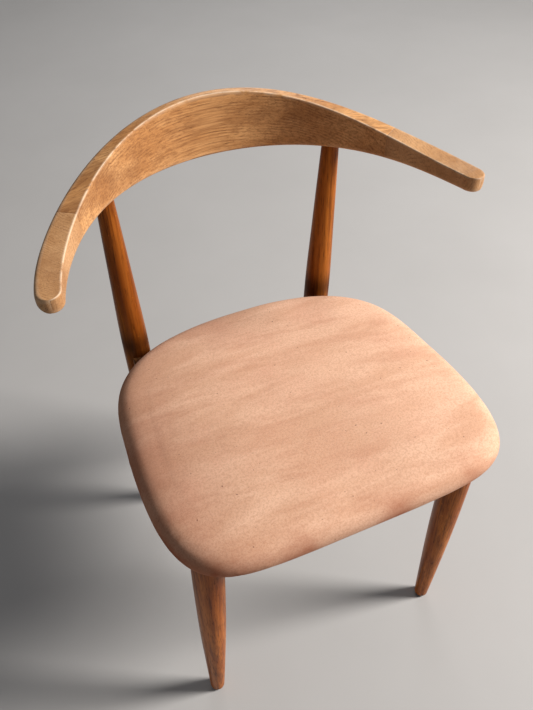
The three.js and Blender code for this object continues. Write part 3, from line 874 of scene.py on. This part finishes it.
def swellPad(piece):
    # blows the cover up as cloth, its hem held by the board, and keeps the even part of the motion
    start = readPoints(piece.data)
    held = piece.vertex_groups.new(name="held")
    for index, (x, y, z) in enumerate(start):
        held.add([index], min(1.0, max(0.0, (0.014 - z) / 0.010)), "REPLACE")
    cloth = piece.modifiers.new("cloth", "CLOTH")
    for key, value in pad["cloth"].items():
        setattr(cloth.settings, key, value)
    cloth.settings.use_pressure = True
    cloth.settings.uniform_pressure_force = pad["pressure"]
    cloth.settings.effector_weights.gravity = 0
    cloth.settings.vertex_group_mass = "held"
    cloth.collision_settings.use_collision = False
    cloth.point_cache.frame_start = 1
    cloth.point_cache.frame_end = pad["frames"]
    for frameNumber in range(1, pad["frames"] + 1):
        bpy.context.scene.frame_set(frameNumber)
    keepShape(piece)
    moved = evenOut(piece.data, readPoints(piece.data) - start, pad["evenings"])
    distance = np.linalg.norm(moved, axis=1)
    moved *= min(1, pad["cap"] / distance.max())
    piece.data.vertices.foreach_set("co", (start + moved).ravel())
    bpy.context.scene.frame_set(1)
    print("pad swelled by up to", round(float(distance.max()) * 1000, 1), "mm")


def ramp(value, start, width):
    return min(1, max(0, (value - start) / width))


def gather(here):
    # how far the hem is drawn up in the pad's corners
    gathers = pad["gathers"]
    angle = math.atan2(here.y, here.x)
    corner = max(0, abs(math.sin(2 * angle)) - 0.72) / 0.28
    rim = max(0, 1 - abs(math.hypot(here.x / 1.06, here.y) - gathers["at"]) / gathers["wide"])
    return gathers["depth"] * corner * rim * (0.5 + 0.5 * math.sin(angle * gathers["count"]))


def foldDepth(here):
    fold = pad["fold"]
    offset = here - Vector(fold["at"])
    run = Vector(fold["run"]).normalized()
    along = offset.dot(run)
    away = (offset - run * along).length
    return max(0, 1 - (along / fold["long"]) ** 2) * math.exp(-(away / fold["wide"]) ** 2)


def soilAndShadeMask(x, y, z, here):
    # soil in smears along the front and low on the sides, clean at the right corner; painted shade, darkest
    # low on the left side
    rub = pad["rub"]
    low = 1 - ramp(z, *rub["side"])
    smear = 0.5 + 0.5 * math.sin(x * rub["smears"] + 2 * noise.noise(here * 25))
    front = 1.1 * ramp(-y, *rub["front"]) * ramp(z, *rub["lip"]) * (0.25 + 0.75 * smear * smear)
    front *= 1 - ramp(x, *rub["clean"])
    # painted shade spreading over the left of the top face
    shaded = 0.60 * ramp(-x, *rub["shade"]) ** 1.6
    return min(1, max(shaded, low * max(0.15, 1.2 * ramp(-x, *rub["left"]), front)))


def dressPad(mesh):
    # soft hollows over the foam, gathers in the hem, one small fold with painted shade in it, and the mask of
    # soil and painted shade
    rubbed, foldShading = [], []
    for vertex in mesh.vertices:
        here = vertex.co
        x, y, z = here
        out = Vector((x, y, 0)).normalized()
        if z > 0.002:
            here.z += sum(noise.noise(here * fine) * deep for fine, deep in pad["drift"]) * min(1, z / 0.02)
        else:
            here.z -= gather(here)
        depth = foldDepth(here)
        here -= out * pad["fold"]["depth"] * depth
        foldShading.append(min(1, depth * 1.4))
        rubbed.append(soilAndShadeMask(x, y, z, here))
    for name, values in (("rubbed", rubbed), ("fold", foldShading)):
        mesh.attributes.new(name, "FLOAT", "POINT").data.foreach_set("value", values)


print("pad")
cushion = padForm("seatCushion", pad["shrink"])
model = padForm("padModel", pad["shrink"])
remesh = cushion.modifiers.new("remesh", "REMESH")
remesh.mode = "VOXEL"
remesh.voxel_size = pad["voxel"]
wrap = cushion.modifiers.new("wrap", "SHRINKWRAP")
wrap.target = model
keepShape(cushion)
bpy.data.objects.remove(model)
swellPad(cushion)
finer = cushion.modifiers.new("finer", "SUBSURF")
finer.levels = finer.render_levels = 1
keepShape(cushion)
dressPad(cushion.data)
cushion.data.transform(seatPlace)
cushion.data.materials.clear()
cushion.data.materials.append(seatSuede)
smoothShade(cushion.data, 80)
place(cushion, "seat_cloth", "seat_cover", "seat_foam")


# Under the pad: the black cloth, and the staples that hold it

dust = {"inset": 0.0200, "top": -0.00035, "thickness": 0.0004, "rings": 26, "around": 240,
        "sag": 0.0004, "cut": (0.400, 0.361), "area": 0.1288,
        "half": (0.196, 0.175), "crease": 0.0004,
        "stapleInset": 0.0245, "stapleLift": 0.00012, "staples": 88,
        "staple": (0.0095, 0.0008, 0.00025), "twist": 0.22}


def dustHeight(x, y):
    # the cloth is pulled flat at its edge, with faint creases towards the staples
    halfWidth, halfDepth = dust["half"]
    reach = min(1, math.hypot(x / halfWidth, y / halfDepth))
    crease = math.sin(math.atan2(y, x) * dust["staples"]) * max(0, reach - 0.72) * dust["crease"]
    hang = 0.6 + noise.noise((x * 9, y * 9, 0)) * 0.8
    return dust["top"] - dust["sag"] * (1 - reach ** 2) * hang - crease * 0.5


def dustSheet():
    around = dust["around"]
    x, y = padRing(dust["inset"], around)
    vertices = [Vector((0, 0, dustHeight(0, 0)))]
    for ring in range(1, dust["rings"] + 1):
        reach = ring / dust["rings"]
        inner = [(a * reach, b * reach) for a, b in zip(x, y)]
        vertices += [Vector((a, b, dustHeight(a, b))) for a, b in inner]
    faces = []
    for step in range(around):
        after = (step + 1) % around
        faces.append((0, 1 + after, 1 + step))
        for ring in range(dust["rings"] - 1):
            base = 1 + ring * around
            faces.append((base + step, base + after, base + around + after, base + around + step))
    sheet = makePiece("dustSheet", vertices, faces, dustCloth, 80)
    thicken = sheet.modifiers.new("thicken", "SOLIDIFY")
    thicken.thickness = dust["thickness"]
    thicken.offset = 1
    keepShape(sheet)
    sheet.data.transform(seatPlace)
    return sheet


def stapling():
    # a tree that lays staples along a closed line
    laying = Growth("stapling")
    line = laying.ask("Line", "NodeSocketGeometry")
    count = laying.ask("Count", "NodeSocketInt")
    seed = laying.ask("Seed", "NodeSocketInt")
    curve = laying.node("GeometryNodeMeshToCurve", None, {0: line})
    spaced = laying.node("GeometryNodeResampleCurve", None, {"Curve": curve, "Count": count})
    crown = laying.node("GeometryNodeMeshCube", None, {"Size": dust["staple"]})
    tangent = laying.node("GeometryNodeInputTangent")
    facing = laying.node("FunctionNodeAlignRotationToVector", {"axis": "X"}, {"Vector": tangent})
    twist = laying.node("FunctionNodeRandomValue", None, {
        "Min": -dust["twist"], "Max": dust["twist"], "Seed": seed}, 1)
    twist = laying.node("ShaderNodeCombineXYZ", None, {"Z": twist})
    twist = laying.node("FunctionNodeEulerToRotation", None, {0: twist})
    turned = laying.node("FunctionNodeRotateRotation", {"rotation_space": "LOCAL"},
                         {"Rotation": facing, "Rotate By": twist})
    laid = laying.node("GeometryNodeInstanceOnPoints", None,
                       {"Points": spaced, "Instance": crown, "Rotation": turned})
    laying.close(laid, screwSteel)
    return laying


print("underside")
dustCover = dustSheet()
x, y = padRing(dust["stapleInset"], dust["around"])
lineMesh = bpy.data.meshes.new("stapleLine")
height = dust["top"] - dust["thickness"] - dust["stapleLift"]
lineMesh.from_pydata([(a, b, height) for a, b in zip(x, y)],
                     [(step, (step + 1) % dust["around"]) for step in range(dust["around"])], [])
staples = stapling().grow("hemStaples", {"Count": dust["staples"], "Seed": 11}, lineMesh)
staples.data.transform(seatPlace)
smoothShade(staples.data, 20)
place(staples, "steel")
place(dustCover, "dust_cloth", "dust_cover")


# What carries over from the frame

for node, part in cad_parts.items():
    material = beechWood if "dowel" in node else plyWood if node == "seat_board" else None
    if material:
        part.data.materials.clear()
        part.data.materials.append(material)


# Studio

studio = {
    "cameraPlace": (-0.2799, -0.5980, 1.143),
    "yaw": -0.4117, "pitch": 0.7823, "roll": -0.0191,
    "lens": 38.11, "sensor": 36,
    "floor": (0.46, 0.45, 0.44), "floorShade": (0.41, 0.40, 0.39), "floorReach": 14.0,
    "sky": (0.94, 0.96, 1.0), "skyStrength": 0.16,
}
lamps = {
    "windowLight": {"at": (2.7, -1.2, 2.5), "aim": (0, 0, 0.45), "size": 1.1, "power": 230,
                    "colour": (1.0, 0.965, 0.93)},
    "wallLight": {"at": (1.2, 2.4, 1.9), "aim": (0, 0, 0.5), "size": 1.6, "power": 16,
                  "colour": (0.97, 0.98, 1.0)},
}


def addLamp(name, lamp):
    light = bpy.data.lights.new(name, "AREA")
    light.shape = "DISK"
    light.size = lamp["size"]
    light.energy = lamp["power"]
    light.color = lamp["colour"]
    holder = bpy.data.objects.new(name, light)
    holder.location = lamp["at"]
    holder.rotation_euler = (Vector(lamp["aim"]) - holder.location).to_track_quat("-Z", "Y").to_euler()
    bpy.context.scene.collection.objects.link(holder)


print("studio")
paint = Finish("floorPaint", {"Roughness": 0.85, "Specular IOR Level": 0.15})
paint.close(paint.blend(paint.noise(paint.place, 3.0, 4, 0.6), studio["floor"], studio["floorShade"]))
# from below, the floor is clear
oneSided = paint.node("ShaderNodeMixShader", None, {
    0: paint.node("ShaderNodeNewGeometry", out="Backfacing"),
    2: paint.node("ShaderNodeBsdfTransparent")})
paint.tree.links.new(paint.shader.outputs[0], oneSided.socket.node.inputs[1])
paint.tree.links.new(oneSided.socket, paint.tree.nodes["Material Output"].inputs[0])
reach = studio["floorReach"]
corners = [(-reach, -reach, 0), (reach, -reach, 0), (reach, reach, 0), (-reach, reach, 0)]
floor = makePiece("studioFloor", corners, [(0, 1, 2, 3)], paint.material)
for name, lamp in lamps.items():
    addLamp(name, lamp)
world = bpy.data.worlds.new("studioWorld")
world.use_nodes = True
background = world.node_tree.nodes["Background"]
background.inputs["Color"].default_value = (*studio["sky"], 1)
background.inputs["Strength"].default_value = studio["skyStrength"]
bpy.context.scene.world = world
bpy.context.scene.view_settings.view_transform = "Standard"

camera = bpy.data.objects.new("camera", bpy.data.cameras.new("camera"))
camera.data.sensor_width = studio["sensor"]
camera.data.lens = studio["lens"]
camera.matrix_world = (Matrix.Translation(studio["cameraPlace"]) @ Matrix.Rotation(studio["yaw"], 4, "Z")
                       @ Matrix.Rotation(studio["pitch"], 4, "X") @ Matrix.Rotation(studio["roll"], 4, "Z"))
bpy.context.scene.collection.objects.link(camera)
bpy.context.scene.camera = camera
